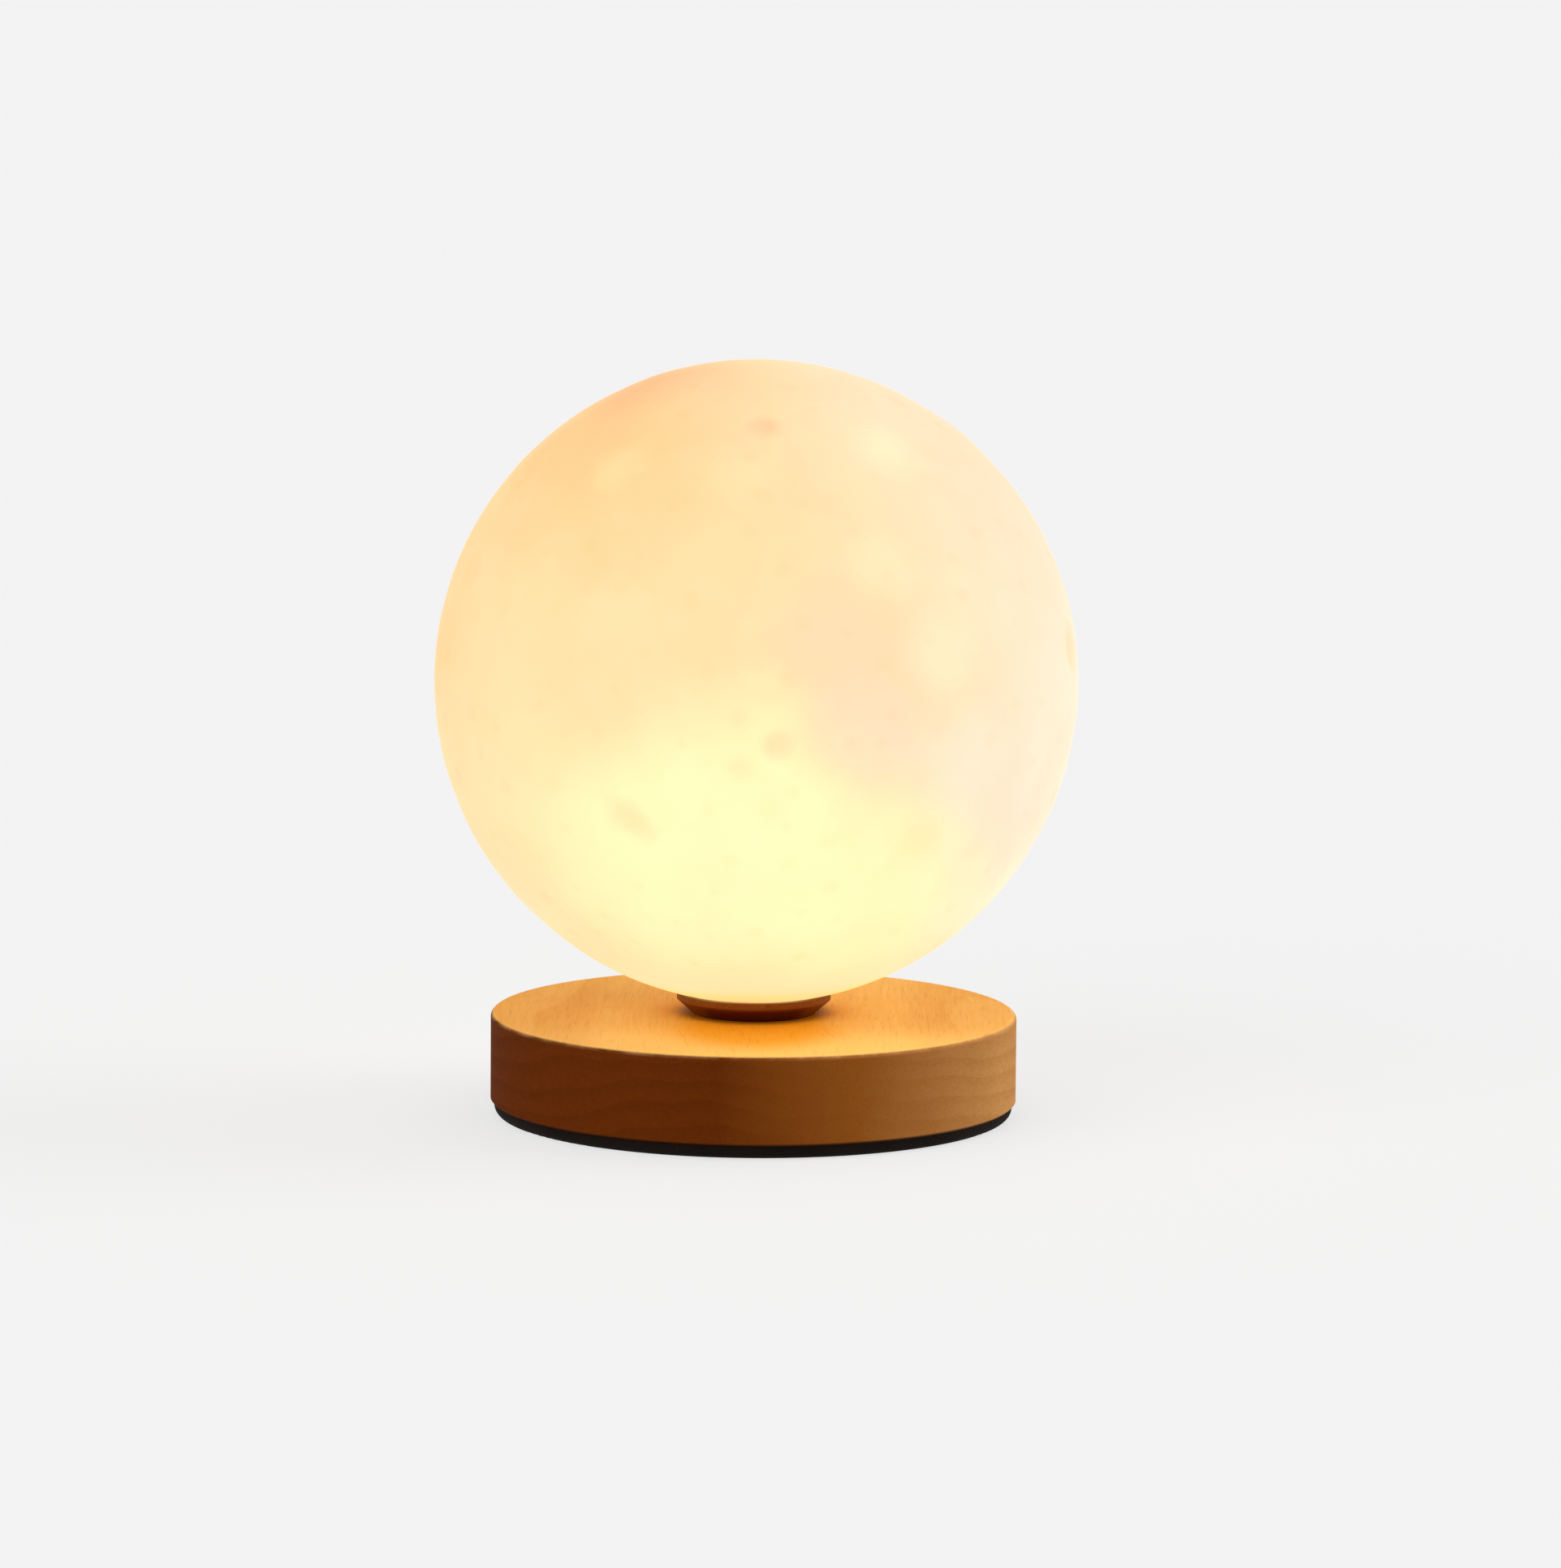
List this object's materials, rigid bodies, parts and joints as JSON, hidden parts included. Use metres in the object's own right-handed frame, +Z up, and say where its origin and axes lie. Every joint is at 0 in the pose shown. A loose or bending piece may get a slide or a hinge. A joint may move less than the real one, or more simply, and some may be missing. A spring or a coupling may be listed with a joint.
{
  "type": "moon lamp",
  "caption": "Cordless moon lamp: a lit, crater-marked frosted globe on a dark dished collar and a round wooden base with a rear push button.",
  "frame": {"origin": "middle of the foot pad's underside, where the lamp stands, straight under the globe's centre", "axes": "+Z up along the globe and base axis, +Y towards the back with the port and button, +X to the right seen from the front"},
  "size_m": [0.1, 0.1, 0.118],
  "materials": {
    "lit_globe": "frosted translucent plastic, lit warm from inside",
    "dark_collar": "satin dark brown plastic",
    "wood": "satin oiled hardwood, light top and darker side",
    "black_foam": "closed-cell black foam",
    "plate_steel": "zinc-plated steel",
    "zinc_steel": "bright zinc-plated steel",
    "brass": "turned brass",
    "white_board": "white solder mask on aluminium",
    "led_phosphor": "yellow phosphor, lit",
    "frosted_lens": "frosted clear plastic",
    "silicone": "translucent silicone",
    "white_plastic": "natural white nylon",
    "green_board": "green solder mask on glass fibre",
    "chip_black": "matt moulded epoxy",
    "ferrite": "dark ferrite",
    "ceramic": "fired ceramic",
    "wire_red": "red wire insulation",
    "wire_black": "black wire insulation",
    "foil_pouch": "silver laminate pouch",
    "black_plastic": "fine-textured black plastic",
    "black_screw": "black oxide steel",
    "port_steel": "drawn stainless steel",
    "switch_cream": "cream nylon"
  },
  "bodies": {
    "base": {"globe_collar": "dark_collar", "globe_seal": "silicone", "collar_nipple": "zinc_steel", "nipple_washer": "zinc_steel", "nipple_nut": "brass", "led_board": "white_board", "led_chips": "led_phosphor", "led_board_screws": "zinc_steel", "led_lens": "frosted_lens", "wood_base": "wood", "base_plate": "plate_steel", "base_screws": "zinc_steel", "foot_pad": "black_foam", "control_board": "green_board", "board_spacers": "brass", "board_screws": "zinc_steel", "charge_chip": "chip_black", "inductor": "ferrite", "capacitors": "ceramic", "led_socket": "white_plastic", "led_plug": "white_plastic", "led_wire_red": "wire_red", "led_wire_black": "wire_black", "battery_socket": "white_plastic", "battery_plug": "white_plastic", "battery_wire_red": "wire_red", "battery_wire_black": "wire_black", "battery_cell": "foil_pouch", "battery_protection_board": "green_board", "battery_tape": "black_foam", "rear_bezel": "black_plastic", "bezel_screws": "black_screw", "usb_socket_shell": "port_steel", "usb_socket_blade": "chip_black", "light_pipe": "frosted_lens", "charge_led": "led_phosphor", "tact_switch": "chip_black"},
    "globe": {"globe": "lit_globe", "globe_ring": "white_plastic"},
    "power_button": {"power_button": "black_plastic", "switch_plunger": "switch_cream"}
  },
  "joints": [
    {"name": "globe_lift", "type": "slide", "parent": "base", "child": "globe", "axis": [0, 0, 1], "range_m": [0, 0.03]},
    {"name": "power_button_press", "type": "slide", "parent": "base", "child": "power_button", "axis": [0, -1, 0], "range_m": [0, 0.0005], "stiffness_N_per_m": 1500}
  ]
}
